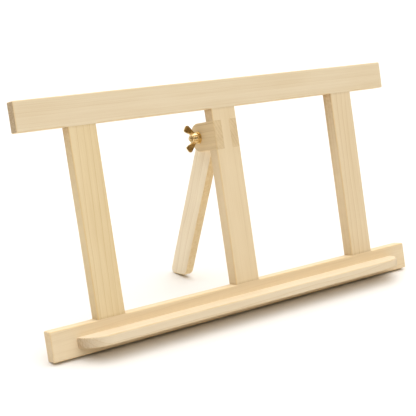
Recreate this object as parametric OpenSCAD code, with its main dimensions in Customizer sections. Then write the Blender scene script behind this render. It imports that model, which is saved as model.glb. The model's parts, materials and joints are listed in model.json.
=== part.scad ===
// Table easel: a leaning frame of two rails and three stiles, a picture ledge along the bottom rail,
// and a prop leg that swings between two cheeks on the centre stile and is clamped by a wing nut.
//
// The frame is drawn upright, front face on the XZ plane, X across, Y to the back, Z up the stiles.
// stand() then leans it back and sets it down with the floor at Z = 0 and its box centred on X and Y.

/* [Frame] */
// Overall width of both rails
frame_w = 500; // [450:1:650]
// Height of the frame measured along the stiles
frame_h = 269; // [250:1:400]
// Width of every rail and stile
board_w = 32.5; // [30:0.5:38]
// Thickness of every rail and stile
board_t = 16; // [14:0.5:19]
// Distance from the centre stile to each outer stile
stile_pitch = 178; // [120:1:180]
// Radius of the eased long and end edges
edge_r = 1.6; // [0.6:0.1:2]
// How far the frame leans back from upright, in degrees
lean = 14; // [10:0.5:20]

/* [Ledge] */
// Length of the ledge
ledge_len = 446.5; // [300:0.5:460]
// How far the middle of the ledge sits to the right of the middle of the rail
ledge_shift = 1.8; // [-5:0.1:5]
// How far the ledge stands out of the rail, which is also the radius of its ends
ledge_depth = 28; // [20:0.5:40]
// Thickness of the ledge
ledge_t = 11; // [9:0.5:12]
// Distance from the top of the bottom rail down to the top of the ledge
ledge_drop = 12.2; // [8:0.1:16]

/* [Cheeks and leg] */
// Height of the cheeks, and the width of their rounded ends
cheek_h = 33.2; // [30:0.1:36]
// Distance from the underside of the top rail down to the pivot, measured along the stiles
pivot_drop = 30.3; // [30:0.1:60]
// Distance of the pivot behind the front face of the frame
pivot_back = 36; // [34:0.5:45]
// Width of the prop leg
leg_w = 33; // [30:0.5:34]
// Clearance between the leg and each cheek
leg_gap = 0.25; // [0.2:0.05:0.5]
// Angle between the stiles and the leg when the easel stands, in degrees
leg_spread = 34; // [28:0.5:40]
// Angle of the cut across the foot, from square across the leg, in degrees
foot_cut = 30; // [20:1:35]
// Radius of the rear corner of the foot, which stands on the floor
foot_rear_r = 5.5; // [4:0.5:8]
// Radius of the front corner of the foot
foot_front_r = 13; // [10:0.5:15]

/* [Pivot bolt and wing nut] */
// Thread diameter of the carriage bolt
bolt_d = 6; // [5:1:6]
// Length of the bolt under its head
bolt_len = 45; // [44:0.5:50]
// Diameter of the domed bolt head
head_d = 14.5; // [13:0.5:16]
// Height of the domed bolt head
head_h = 3.4; // [3:0.1:4]
// Depth of the square neck under the head
neck_len = 4; // [3:0.5:5]
// Outside diameter of the washer
washer_d = 14.5; // [13:0.5:16]
// Thickness of the washer
washer_t = 1.4; // [1:0.1:2]
// Diameter of the wing nut's hub where it meets the washer
hub_base_d = 12.6; // [12:0.1:13]
// Diameter of the hub at its outer end
hub_end_d = 10.4; // [9:0.1:11]
// Length of the hub
hub_len = 8.8; // [8:0.1:9]
// Thickness of the wings
wing_t = 2.4; // [1.8:0.1:3]
// Distance between the tips of the two wings
wing_span = 31.6; // [28:0.2:33]

/* [Joinery] */
// Diameter of the dowels between rails and stiles
dowel_d = 6; // [5:1:8]
// Length of the dowels
dowel_len = 24; // [16:2:24]
// Distance between the two dowels of a joint
dowel_gap = 15; // [12:1:17]
// Number of screws that hold the ledge
screw_count = 4; // [3:1:6]
// Diameter of the screw shank
screw_d = 3.5; // [3:0.5:4]
// Diameter of the countersunk screw head
screw_head_d = 7; // [6:0.5:8]
// Length of the screws
screw_len = 30; // [28:1:34]

/* [Hidden] */

wood = [0.90, 0.81, 0.65];
wood_warm = [0.87, 0.77, 0.56];
wood_end = [0.76, 0.67, 0.51];
brass = [0.78, 0.60, 0.28];
steel = [0.72, 0.70, 0.64];

round_fn = 96;
corner_steps = 12;                  // flats along one round corner of the leg
past = 1;                           // how far a bore is cut past the faces that it opens
screw_point_d = 0.4;                // blunt point of a screw
running_gap = 0.08;                 // radial clearance of a hole that turns on the bolt
thread_gap = 0.05;                  // radial clearance of the wing nut on the bolt

cheek_t = board_w / 3;
tongue_t = board_w - 2 * cheek_t;
leg_t = tongue_t - 2 * leg_gap;
cheek_r = cheek_h / 2;
pivot_up = frame_h - board_w - pivot_drop;
bolt_r = bolt_d / 2;
nut_x = -board_w / 2 - washer_t;    // face of the washer that the wing nut clamps

// One wing, measured out from the washer and up from the axis. Its edges run from the hub to two
// round corners: the tip, which is furthest from the axis, and the heel, which is furthest out.
wing_in = 2;
wing_out = hub_len - 0.6;
wing_foot = 0.4;                    // the inner edge leaves the hub this far above its outer end
tip_r = 3.4;
tip_at = [12, wing_span / 2 - tip_r];
heel_r = 2.4;
heel_at = [14.6, tip_at[1] - 1.6];
inner_edge = 143;                   // angles at which the wing's edges meet the two round corners
outer_edge = 36;
lower_edge = -54;

ledge_top = board_w - ledge_drop;
ledge_bottom = ledge_top - ledge_t;
ledge_mid = ledge_top - ledge_t / 2;
screw_head_len = (screw_head_d - screw_d) / 2;
screw_reach = ledge_len / 2 - 2 * ledge_depth;

// The leg leans back from upright by leg_tilt. Its foot's rear corner is a circle that touches the floor.
leg_tilt = leg_spread - lean;
rail_low = edge_r * cos(lean) - (board_t - edge_r) * sin(lean) - edge_r;
pivot_y = pivot_up * sin(lean) + pivot_back * cos(lean);
pivot_z = pivot_up * cos(lean) - pivot_back * sin(lean) - rail_low;
rear_n = leg_w / 2 - foot_rear_r;
rear_s = (pivot_z + rear_n * sin(leg_tilt) - foot_rear_r) / cos(leg_tilt);
front_n = foot_front_r - leg_w / 2;
front_s = rear_s - (rear_n - front_n) * tan(foot_cut) + (foot_rear_r - foot_front_r) / cos(foot_cut);

// Front and back of the whole object, which centre it on Y
front_y = (ledge_bottom + edge_r) * sin(lean) - (ledge_depth - edge_r) * cos(lean) - edge_r;
back_y = pivot_y + rear_s * sin(leg_tilt) + rear_n * cos(leg_tilt) + foot_rear_r;
centre_y = (front_y + back_y) / 2;

// Leans the upright frame back and sets it down on the floor
module stand() {
  translate([0, -centre_y, -rail_low])
    rotate([-lean, 0, 0])
      children();
}

// Rectangle from the origin with four round corners
module round_rect(w, h, r) {
  translate([r, 0]) square([w - 2 * r, h]);
  translate([0, r]) square([w, h - 2 * r]);
  for (x = [r, w - r], y = [r, h - r])
    translate([x, y]) circle(r = r, $fn = round_fn);
}

// Board from the origin with all twelve edges eased
module board(x, y, z) {
  intersection() {
    linear_extrude(z) round_rect(x, y, edge_r);
    translate([0, y, 0]) rotate([90, 0, 0]) linear_extrude(y) round_rect(x, z, edge_r);
    rotate([90, 0, 90]) linear_extrude(x) round_rect(y, z, edge_r);
  }
}

// Board with only its four long edges, along Z, eased, for pieces that butt against others
module upright_board(x, y, z) {
  linear_extrude(z) round_rect(x, y, edge_r);
}

// Round bar along X that starts at x and runs towards +X
module bar_x(x, length, r) {
  translate([x, 0, 0]) rotate([0, 90, 0]) cylinder(h = length, r = r, $fn = round_fn);
}

// Moves a shape to the pivot axis
module at_pivot() {
  translate([0, pivot_back, pivot_up]) children();
}

// The two dowels of one joint, where place is the stile's number from the middle
module dowel_pair(place, height) {
  for (side = [-1, 1])
    translate([place * stile_pitch + side * dowel_gap / 2, board_t / 2, height - dowel_len / 2])
      cylinder(h = dowel_len, d = dowel_d, $fn = round_fn);
}

module top_dowels(place) {
  dowel_pair(place, frame_h - board_w);
}

module bottom_dowels(place) {
  dowel_pair(place, board_w);
}

// Body of one countersunk screw along -Y, with its head flush with the back of the bottom rail
module screw_body() {
  translate([0, board_t, 0]) rotate([90, 0, 0]) {
    cylinder(h = screw_head_len, d1 = screw_head_d, d2 = screw_d, $fn = round_fn);
    cylinder(h = screw_len - screw_d, d = screw_d, $fn = round_fn);
    translate([0, 0, screw_len - screw_d])
      cylinder(h = screw_d, d1 = screw_d, d2 = screw_point_d, $fn = round_fn);
  }
}

// One child at each screw's place
module at_screws() {
  for (i = [0 : screw_count - 1]) {
    x = ledge_shift - screw_reach + 2 * screw_reach * i / (screw_count - 1);
    translate([x, 0, ledge_mid]) children();
  }
}

// Rail with its bottom edge at a height. Its inner edge, at seat_z, is only eased between the stiles.
module rail(z, seat_z) {
  translate([-frame_w / 2, 0, z]) board(frame_w, board_t, board_w);
  for (place = [-1 : 1])
    translate([place * stile_pitch - board_w / 2, 0, seat_z]) upright_board(board_w, board_t, edge_r);
}

module top_rail() {
  color(wood)
    stand() difference() {
      rail(frame_h - board_w, frame_h - board_w);
      for (place = [-1 : 1]) top_dowels(place);
    }
}

module bottom_rail() {
  color(wood)
    stand() difference() {
      rail(0, board_w - edge_r);
      for (place = [-1 : 1]) bottom_dowels(place);
      at_screws() screw_body();
    }
}

// Plain stile between the rails, bored at both ends for its dowels
module stile(place) {
  difference() {
    translate([place * stile_pitch - board_w / 2, 0, board_w])
      upright_board(board_w, board_t, frame_h - 2 * board_w);
    top_dowels(place);
    bottom_dowels(place);
  }
}

module left_stile() {
  color(wood_warm) stand() stile(-1);
}

module right_stile() {
  color(wood) stand() stile(1);
}

// Centre stile with a housing in each side, which leaves a tongue between the two cheeks
module centre_stile() {
  color(wood)
    stand() difference() {
      stile(0);
      for (side = [-1, 1])
        translate([side * (board_w / 2 + tongue_t / 2) / 2, board_t / 2, pivot_up])
          cube([cheek_t, 2 * board_t, cheek_h], center = true);
    }
}

// Section of the ledge: depth along X, thickness along Y, with its two front edges eased
module ledge_section() {
  translate([0, ledge_bottom]) square([ledge_depth - edge_r, ledge_t]);
  translate([0, ledge_bottom + edge_r]) square([ledge_depth, ledge_t - 2 * edge_r]);
  for (y = [ledge_bottom + edge_r, ledge_top - edge_r])
    translate([ledge_depth - edge_r, y]) circle(r = edge_r, $fn = round_fn);
}

// Straight strip with a quarter-round end at each side, screwed to the front of the bottom rail
module ledge() {
  straight = ledge_len - 2 * ledge_depth;
  color(wood)
    stand() difference() {
      translate([ledge_shift, 0, 0]) {
        translate([straight / 2, 0, 0])
          rotate([90, 0, -90]) linear_extrude(straight) ledge_section();
        translate([-straight / 2, 0, 0])
          rotate([0, 0, 180]) rotate_extrude(angle = 90, $fn = round_fn) ledge_section();
        translate([straight / 2, 0, 0])
          rotate([0, 0, -90]) rotate_extrude(angle = 90, $fn = round_fn) ledge_section();
      }
      at_screws() screw_body();
    }
}

// Cheek that starts at x: square at the frame's front face and half round about the pivot
module cheek(x) {
  difference() {
    union() {
      translate([x, 0, pivot_up - cheek_r]) cube([cheek_t, pivot_back, cheek_h]);
      at_pivot() bar_x(x, cheek_t, cheek_r);
    }
    at_pivot() bar_x(x - past, cheek_t + 2 * past, bolt_r + running_gap);
  }
}

module left_cheek() {
  color(wood_end) stand() cheek(-board_w / 2);
}

// The right cheek has a square pocket that holds the neck of the bolt
module right_cheek() {
  color(wood_end)
    stand() difference() {
      cheek(tongue_t / 2);
      at_pivot() neck();
    }
}

// Points along a round corner about (n, s), turning from one angle to another
function corner(n, s, r, from, to, steps) =
  [for (i = [0 : steps]) let (a = from + (to - from) * i / steps) [n + r * cos(a), s + r * sin(a)]];

// Outline of the leg: s runs down the leg from the pivot, n across it towards the back
module leg_outline() {
  polygon(concat(
    corner(0, 0, leg_w / 2, -180, 0, 3 * corner_steps),
    corner(rear_n, rear_s, foot_rear_r, 0, 90 + foot_cut, corner_steps),
    corner(front_n, front_s, foot_front_r, 90 + foot_cut, 180, corner_steps)
  ));
}

// Flat prop leg, half round about the pivot, with its foot cut at an angle
module prop_leg() {
  color(wood)
    stand() at_pivot() rotate([leg_spread, 0, 0])
      difference() {
        translate([leg_t / 2, 0, 0])
          rotate([-90, 0, 90]) linear_extrude(leg_t) leg_outline();
        bar_x(-leg_t / 2 - past, leg_t + 2 * past, bolt_r + running_gap);
      }
}

// Square neck of the bolt, just inside the outer face of the right cheek
module neck() {
  translate([board_w / 2 - neck_len / 2, 0, 0]) cube([neck_len, bolt_d, bolt_d], center = true);
}

// Shallow dome of a given width and height that stands on the origin and points along +Z
module dome(width, height) {
  sphere_r = (width * width / 4 + height * height) / (2 * height);
  intersection() {
    translate([0, 0, height - sphere_r]) sphere(r = sphere_r, $fn = round_fn);
    cylinder(h = height, d = width, $fn = round_fn);
  }
}

// Carriage bolt: domed head outside the right cheek, square neck, shank to the left past the nut
module pivot_bolt() {
  color(brass)
    stand() at_pivot() {
      translate([board_w / 2, 0, 0]) rotate([0, 90, 0]) dome(head_d, head_h);
      neck();
      bar_x(board_w / 2 - bolt_len, bolt_len, bolt_r);
    }
}

module washer() {
  color(brass)
    stand() at_pivot() difference() {
      bar_x(nut_x, washer_t, washer_d / 2);
      bar_x(nut_x - past, washer_t + 2 * past, bolt_r + running_gap);
    }
}

// Point on a round corner's rim, where the angle runs from straight out towards straight up
function rim(at, r, angle) = at + r * [cos(angle), sin(angle)];

// One wing in the plane of the hub's axis: out runs away from the cheek, along X, and up along Y
module wing_outline() {
  polygon([
    [wing_in, 0],
    [wing_in, hub_end_d / 2 + wing_foot],
    rim(tip_at, tip_r, inner_edge),
    rim(tip_at, tip_r, 90),
    rim(tip_at, tip_r, outer_edge),
    rim(heel_at, heel_r, outer_edge),
    rim(heel_at, heel_r, lower_edge),
    [wing_out, hub_end_d / 2 - wing_foot],
    [wing_out, 0]
  ]);
  translate(tip_at) circle(r = tip_r, $fn = round_fn);
  translate(heel_at) circle(r = heel_r, $fn = round_fn);
}

// Wing nut: a tapered hub and two splayed wings, bored for the bolt
module wing_nut() {
  color(brass)
    stand() at_pivot() translate([nut_x, 0, 0]) difference() {
      union() {
        rotate([0, -90, 0])
          cylinder(h = hub_len, d1 = hub_base_d, d2 = hub_end_d, $fn = round_fn);
        for (turn = [0, 180])
          rotate([turn, 0, 0]) rotate([90, 0, 0]) mirror([1, 0, 0])
            translate([0, 0, -wing_t / 2]) linear_extrude(wing_t) wing_outline();
      }
      bar_x(-hub_len - past, hub_len + 2 * past, bolt_r + thread_gap);
    }
}

// Two glued dowels across one joint between a rail and a stile
module left_top_dowels() {
  color(wood_end) stand() top_dowels(-1);
}

module left_bottom_dowels() {
  color(wood_end) stand() bottom_dowels(-1);
}

module centre_top_dowels() {
  color(wood_end) stand() top_dowels(0);
}

module centre_bottom_dowels() {
  color(wood_end) stand() bottom_dowels(0);
}

module right_top_dowels() {
  color(wood_end) stand() top_dowels(1);
}

module right_bottom_dowels() {
  color(wood_end) stand() bottom_dowels(1);
}

// Countersunk screws that pass through the bottom rail from behind into the ledge
module ledge_screws() {
  color(steel) stand() at_screws() screw_body();
}

top_rail();
bottom_rail();
left_stile();
centre_stile();
right_stile();
ledge();
left_cheek();
right_cheek();
prop_leg();
pivot_bolt();
washer();
wing_nut();
left_top_dowels();
left_bottom_dowels();
centre_top_dowels();
centre_bottom_dowels();
right_top_dowels();
right_bottom_dowels();
ledge_screws();
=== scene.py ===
"""Wooden table easel: the detailed boards, ledge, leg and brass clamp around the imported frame."""

import json
import math

import bpy
import numpy as np
from mathutils import Euler, Matrix, Vector


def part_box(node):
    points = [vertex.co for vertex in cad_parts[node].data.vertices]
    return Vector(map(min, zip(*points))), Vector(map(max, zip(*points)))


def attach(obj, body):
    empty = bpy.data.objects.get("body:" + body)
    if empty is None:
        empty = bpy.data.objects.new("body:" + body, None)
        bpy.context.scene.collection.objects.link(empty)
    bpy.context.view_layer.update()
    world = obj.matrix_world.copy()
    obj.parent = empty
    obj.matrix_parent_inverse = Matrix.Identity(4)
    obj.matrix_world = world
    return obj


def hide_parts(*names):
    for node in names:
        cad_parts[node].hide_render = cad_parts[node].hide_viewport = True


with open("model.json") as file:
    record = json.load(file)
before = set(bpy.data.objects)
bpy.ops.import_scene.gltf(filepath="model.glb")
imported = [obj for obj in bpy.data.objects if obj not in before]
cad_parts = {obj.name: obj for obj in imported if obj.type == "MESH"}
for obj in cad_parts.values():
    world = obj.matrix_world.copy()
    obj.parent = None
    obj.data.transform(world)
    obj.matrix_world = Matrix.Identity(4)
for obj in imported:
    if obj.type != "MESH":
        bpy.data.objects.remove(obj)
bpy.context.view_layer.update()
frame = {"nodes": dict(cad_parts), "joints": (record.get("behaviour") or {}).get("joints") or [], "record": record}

bl_info = {
    "name": "Wooden table easel",
    "version": (1, 0, 0),
    "blender": (4, 5, 0),
    "location": "3D View > Sidebar > Easel",
    "description": "Builds a table easel with a folding leg and a brass wing nut, and its studio",
    "category": "Object",
}

MM = 0.001
TURN = 2 * math.pi

# ------------------------------------------------------------------ where things are


def mount(name):
    """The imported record's mount of that name."""
    return next(m for m in frame["record"]["mounts"] if m["name"] == name)


def joint(name):
    """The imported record's joint of that name."""
    return next(j for j in frame["joints"] if j["name"] == name)


RIGHT = np.array([1.0, 0.0, 0.0])
UP = np.array(mount("ledge_top")["axis"], float)
UP /= np.linalg.norm(UP)
BACK = np.cross(UP, RIGHT)
LEAN_COS, LEAN_SIN = UP[2], UP[1]


def stile_size():
    """Length, width and thickness of a stile. Its box is l sin + t cos deep and l cos + t sin high."""
    low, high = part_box("left_stile")
    width, deep, tall = high - low
    share = LEAN_COS**2 - LEAN_SIN**2
    length = (tall * LEAN_COS - deep * LEAN_SIN) / share
    thick = (deep * LEAN_COS - tall * LEAN_SIN) / share
    return length, width, thick


STILE_LEN, BOARD_W, BOARD_T = stile_size()
FRAME_H = STILE_LEN + 2 * BOARD_W
FRONT_POINT = np.array(mount("top_rail_front")["pos_m"], float)
ORIGIN = FRONT_POINT - (FRAME_H - BOARD_W / 2) * UP
PIVOT = np.array(joint("leg_swing")["pos_m"], float) - ORIGIN
PIVOT_UP, PIVOT_BACK = float(PIVOT @ UP), float(PIVOT @ BACK)
LEDGE_POINT = np.array(mount("ledge_top")["pos_m"], float) - ORIGIN
LEG_SPREAD = -math.radians(joint("leg_swing")["range_deg"][0])


def middle_x(node):
    """Middle of a CAD node on X."""
    low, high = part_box(node)
    return (low.x + high.x) / 2


def width_x(node):
    """Extent of a CAD node on X."""
    low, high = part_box(node)
    return high.x - low.x


class Axes:
    """A piece's own axes: its origin in the frame's (right, back, up), and three directions there. X runs
    along the grain, Y across the board and Z out of its face. A point p of them lies at origin + p @ rows."""

    def __init__(self, origin, along, across):
        basis = np.stack([RIGHT, BACK, UP])
        self.origin = ORIGIN + np.array(origin, float) @ basis
        x, y = (np.array(v, float) @ basis for v in (along, across))
        self.rows = np.stack([x, y, np.cross(x, y)])

    def place(self, points):
        """Points of these axes in the row frame: origin + p @ rows."""
        return self.origin + points @ self.rows

    def mapping(self):
        """Rotation and location of a Mapping node that takes a point of the row frame to these axes."""
        turn = Matrix(self.rows.tolist())
        shift = -(self.rows @ self.origin)
        return turn.to_euler("XYZ"), Vector(shift.tolist())


# ------------------------------------------------------------------ numpy surfaces


def smooth(x):
    """3 x^2 - 2 x^3 between 0 and 1."""
    x = np.clip(x, 0, 1)
    return x * x * (3 - 2 * x)


def window(x, low, high, soft):
    """1 between low and high, falling smoothly to 0 over the distance soft outside them."""
    return smooth((x - low) / soft + 1) * smooth((high - x) / soft + 1)


WAVES = 5
SHORTEST_SHARE = 0.12


def wander(x, seed, longest):
    """A smooth value between -1 and 1: the mean of sin(2 pi x / length + phase) over a few seeded waves, none
    of them shorter than a small share of the longest."""
    draw = np.random.default_rng(seed)
    length = longest * draw.uniform(SHORTEST_SHARE, 1.0, WAVES)
    phase = draw.uniform(0, TURN, WAVES)
    return np.sin(TURN * np.asarray(x, float)[..., None] / length + phase).mean(-1)


def loft(rings, joined=False):
    """Faces over rings of points: point j of ring i is joined to point j + 1 and to the same points of ring
    i + 1, and j runs round. The first and last ring are filled, or joined to each other."""
    rows, cols = rings.shape[:2]
    index = np.arange(rows * cols).reshape(rows, cols)
    if joined:
        index = np.vstack([index, index[:1]])
    beside = np.roll(index, -1, axis=1)
    quads = np.stack([index[:-1], beside[:-1], beside[1:], index[1:]], -1).reshape(-1, 4)
    caps = [] if joined else [index[0][::-1], index[-1]]
    return rings.reshape(-1, 3), [*quads.tolist(), *[c.tolist() for c in caps]]


def volume(points, faces):
    """Signed volume inside closed faces: the sum of a . (b x c) / 6 over a fan of triangles on each
    face."""
    points = points - points.mean(0)
    total = 0.0
    by_size = {}
    for face in faces:
        by_size.setdefault(len(face), []).append(face)
    for size, group in by_size.items():
        corner = points[np.array(group)]
        for k in range(1, size - 1):
            cross = np.cross(corner[:, k], corner[:, k + 1])
            total += float((corner[:, 0] * cross).sum()) / 6
    return total


def build(name, shells, material, body, node, slot, sharp=35, **masks):
    """One piece from closed shells of (points, faces) and vertex masks. It rides its body and stands for one
    CAD node. Faces are turned outwards, and corners sharper than that many degrees stay sharp."""
    points, faces, start = [], [], 0
    for shell_points, shell_faces in shells:
        if volume(shell_points, shell_faces) < 0:
            shell_faces = [face[::-1] for face in shell_faces]
        faces += [[start + k for k in face] for face in shell_faces]
        points.append(shell_points)
        start += len(shell_points)
    mesh = bpy.data.meshes.new(name)
    mesh.from_pydata(np.concatenate(points).tolist(), [], faces)
    if mesh.validate():
        raise RuntimeError(f"{name}: Blender had to repair faces of the mesh")
    mesh.polygons.foreach_set("use_smooth", np.ones(len(mesh.polygons), bool))
    mesh.set_sharp_from_angle(angle=math.radians(sharp))
    for mask, values in masks.items():
        layer = mesh.attributes.new(mask, "FLOAT", "POINT")
        layer.data.foreach_set("value", np.concatenate(values).astype(np.float32))
    mesh.materials.append(material)
    piece = bpy.data.objects.new(name, mesh)
    bpy.context.scene.collection.objects.link(piece)
    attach(piece, body)
    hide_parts(node)


HAIR = 0.12 * MM
CORNER_STEPS = 8
SIDE_SHARES = np.array([0.02, 0.2, 0.4, 0.6, 0.8, 0.98])
CORNER_SIGNS = np.array([[1, 1], [-1, 1], [-1, -1], [1, -1]], float)


def board_rings(along, half_width, half_thick, radius, inset):
    """Rings of a board along X with rounded corners. For each ring: its place on X, half width, radius of
    its four corners and inset from the full section. Corner k turns a quarter about
    (half width - inset - r, half thickness - inset - r), with r = radius - inset, and straight runs join
    the corners. Returns the rings, and how far round a corner each point is: sin(2 a), 1 in the middle."""
    half_width = np.broadcast_to(half_width, along.shape)
    a = np.linspace(0, math.pi / 2, CORNER_STEPS + 1)
    r = np.maximum(radius - inset[:, None], HAIR / 4)
    reach = np.stack([half_width - inset, half_thick - inset], -1)
    rims = []
    for k in range(4):
        turn = a + k * math.pi / 2
        centre = CORNER_SIGNS[k] * (reach - r[:, k, None])
        way = np.stack([np.cos(turn), np.sin(turn)], -1)
        rims.append(centre[:, None, :] + r[:, k, None, None] * way)
    columns, eased = [], []
    for k in range(4):
        end, start = rims[k][:, -1:], rims[(k + 1) % 4][:, :1]
        columns += [rims[k], end + (start - end) * SIDE_SHARES[None, :, None]]
        eased += [np.sin(2 * a), np.zeros(len(SIDE_SHARES))]
    section = np.concatenate(columns, 1)
    x = np.broadcast_to(along[:, None, None], (*section.shape[:2], 1))
    eased = np.broadcast_to(np.concatenate(eased), section.shape[:2])
    return np.concatenate([x, section], -1), eased


END_STEPS = 6
END_MARGIN = 0.8 * MM
RING_GAP = 3 * MM
LAST_GAP = 2 * MM
CALM_END = 12 * MM
CALM_SOFT = 8 * MM
EDGE_WANDER = 0.16
EDGE_WAVE = 0.3
END_FACE_SHARE = 0.3


def end_rounding(radius):
    """How a rounded end leaves its end plane: distances r (1 - sin a) from it, with the inset
    r (1 - cos a), and sin(2 a) as how far round it is. One more ring lies on the end face, a margin in."""
    a = np.linspace(math.pi / 2, 0, END_STEPS + 1)
    away = np.concatenate([[0.0], radius * (1 - np.sin(a))])
    inset = np.concatenate([[radius + END_MARGIN], radius * (1 - np.cos(a))])
    return away, inset, np.concatenate([[0.0], np.sin(2 * a)])


def plain_board(length, half_width, half_thick, edge, end, seed, seats=(), notch=None):
    """Rings and masks of a board from -length / 2 to length / 2 along X. Its edge radius wanders a little
    away from its ends, and falls to a hair's breadth on the corners named in each seat (low, high, corners,
    soft). A notch (low, high, half width) narrows it with square shoulders."""
    away, inset, round_end = end_rounding(end)
    body = np.arange(away[-1] + RING_GAP, length - away[-1] - LAST_GAP, RING_GAP)
    x = np.concatenate([away, body, length - away[::-1]]) - length / 2
    insets = np.concatenate([inset, np.zeros(len(body)), inset[::-1]])
    ends = np.concatenate([round_end, np.zeros(len(body)), round_end[::-1]])
    if notch:
        low, high, narrow = notch
        extra = np.array([low - HAIR, low, low + HAIR, high - HAIR, high, high + HAIR])
        extra[[1, 4]] += np.array([-1, 1]) * HAIR * 0.9
        order = np.argsort(np.concatenate([x, extra]))
        x = np.concatenate([x, extra])[order]
        insets = np.concatenate([insets, np.zeros(len(extra))])[order]
        ends = np.concatenate([ends, np.zeros(len(extra))])[order]
        inner = (x > low - HAIR / 2) & (x < high + HAIR / 2)
        half_width = np.where(inner, narrow, half_width)
    middle = window(x, -length / 2 + CALM_END, length / 2 - CALM_END, CALM_SOFT)
    sway = [EDGE_WANDER * middle * wander(x, seed + k, EDGE_WAVE) for k in range(4)]
    radius = np.stack([edge * (1 + s) for s in sway], -1)
    for low, high, corners, soft in seats:
        share = window(x, low, high, soft)
        for k in corners:
            radius[:, k] = radius[:, k] * (1 - share) + HAIR * share
    rings, eased = board_rings(x, half_width, half_thick, radius, insets)
    eased = np.maximum(eased * (radius.mean(1) / edge)[:, None], ends[:, None] * (end > 2 * HAIR))
    cut = np.broadcast_to((insets > END_FACE_SHARE * end).astype(float)[:, None], eased.shape)
    return rings, np.clip(eased, 0, 1), cut


def rim_of(arcs, arc_steps, run_steps):
    """Closed outline of round corners (centre, radius, start angle, end angle) with straight runs between
    them. Returns its points centre + radius (cos a, sin a), and the outward direction at each."""
    points, outward, corners = [], [], []
    for centre, radius, start, end in arcs:
        a = np.linspace(start, end, arc_steps + 1)[:, None]
        way = np.concatenate([np.cos(a), np.sin(a)], 1)
        corners.append((np.array(centre) + radius * way, way))
    share = np.concatenate([[0.01], np.linspace(0, 1, run_steps + 2)[1:-1], [0.99]])[:, None]
    for k, (rim, way) in enumerate(corners):
        target = corners[(k + 1) % len(corners)][0][0]
        points += [rim, rim[-1] * (1 - share) + target * share]
        outward += [way, np.repeat(way[-1:], len(share), 0)]
    return np.concatenate(points), np.concatenate(outward)


EDGE_STEPS = 6
FACE_RING = 0.965
BORE_RING = 1.3


def plate(rim, half_thick, top, bottom, bore=0.0, middle=(0.0, 0.0)):
    """Rings of a flat plate with an eased rim. The rings run over the top face, round the rim and over the
    bottom face. top and bottom each give the edge's inset and depth at every rim point: on the edge a point
    lies at rim - inset (1 - cos a), z = half thickness - depth (1 - sin a), with a from a quarter turn to 0.
    One more ring lies on each face, drawn in towards the middle. With a bore the rings start and end on a
    circle about the origin, and the surface closes on itself through it. Also returns how far round the
    edge each ring is, and which rings lie on the rim."""
    middle = np.array(middle)
    turn = np.linspace(math.pi / 2, 0, EDGE_STEPS + 1)

    def edge(inset, depth, side):
        rows = []
        for a in turn:
            flat = rim - inset * (1 - math.cos(a))
            rows.append(np.column_stack([flat, side * (half_thick - depth * (1 - math.sin(a)))]))
        near = middle + (rows[0][:, :2] - middle) * FACE_RING
        return [np.column_stack([near, np.full(len(rim), side * half_thick)]), *rows]

    upper, lower = edge(*top, 1), edge(*bottom, -1)
    rings = upper + lower[::-1]
    round_it = [0.0, *np.sin(2 * turn)]
    eased = round_it + round_it[::-1]
    on_rim = [0.0, 0.0, 0.5, *[1.0] * (2 * EDGE_STEPS - 2), 0.5, 0.0, 0.0]
    if bore:
        angle = np.arctan2(rim[:, 1], rim[:, 0])
        hole = bore * np.column_stack([np.cos(angle), np.sin(angle), np.zeros(len(angle))])
        up = np.array([0, 0, half_thick])
        rings = [hole + up, BORE_RING * hole + up, *rings, BORE_RING * hole - up, hole - up]
        eased, on_rim = [0.0, 0.0, *eased, 0.0, 0.0], [0.0, 0.0, *on_rim, 0.0, 0.0]
    return np.stack(rings), np.array(eased)[:, None], np.array(on_rim)[:, None]


def lathe(profile, sides, reach):
    """Rings round X from a profile of (x, radius). reach(x, angle, radius) changes the radius round it."""
    angle = np.linspace(0, TURN, sides, endpoint=False)
    x, r = profile.T
    radius = np.broadcast_to(r[:, None], (len(r), sides))
    radius = reach(x[:, None], angle[None, :], radius)
    across = radius * np.cos(angle)
    return np.stack([np.broadcast_to(x[:, None], radius.shape), across, radius * np.sin(angle)], -1)


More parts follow.
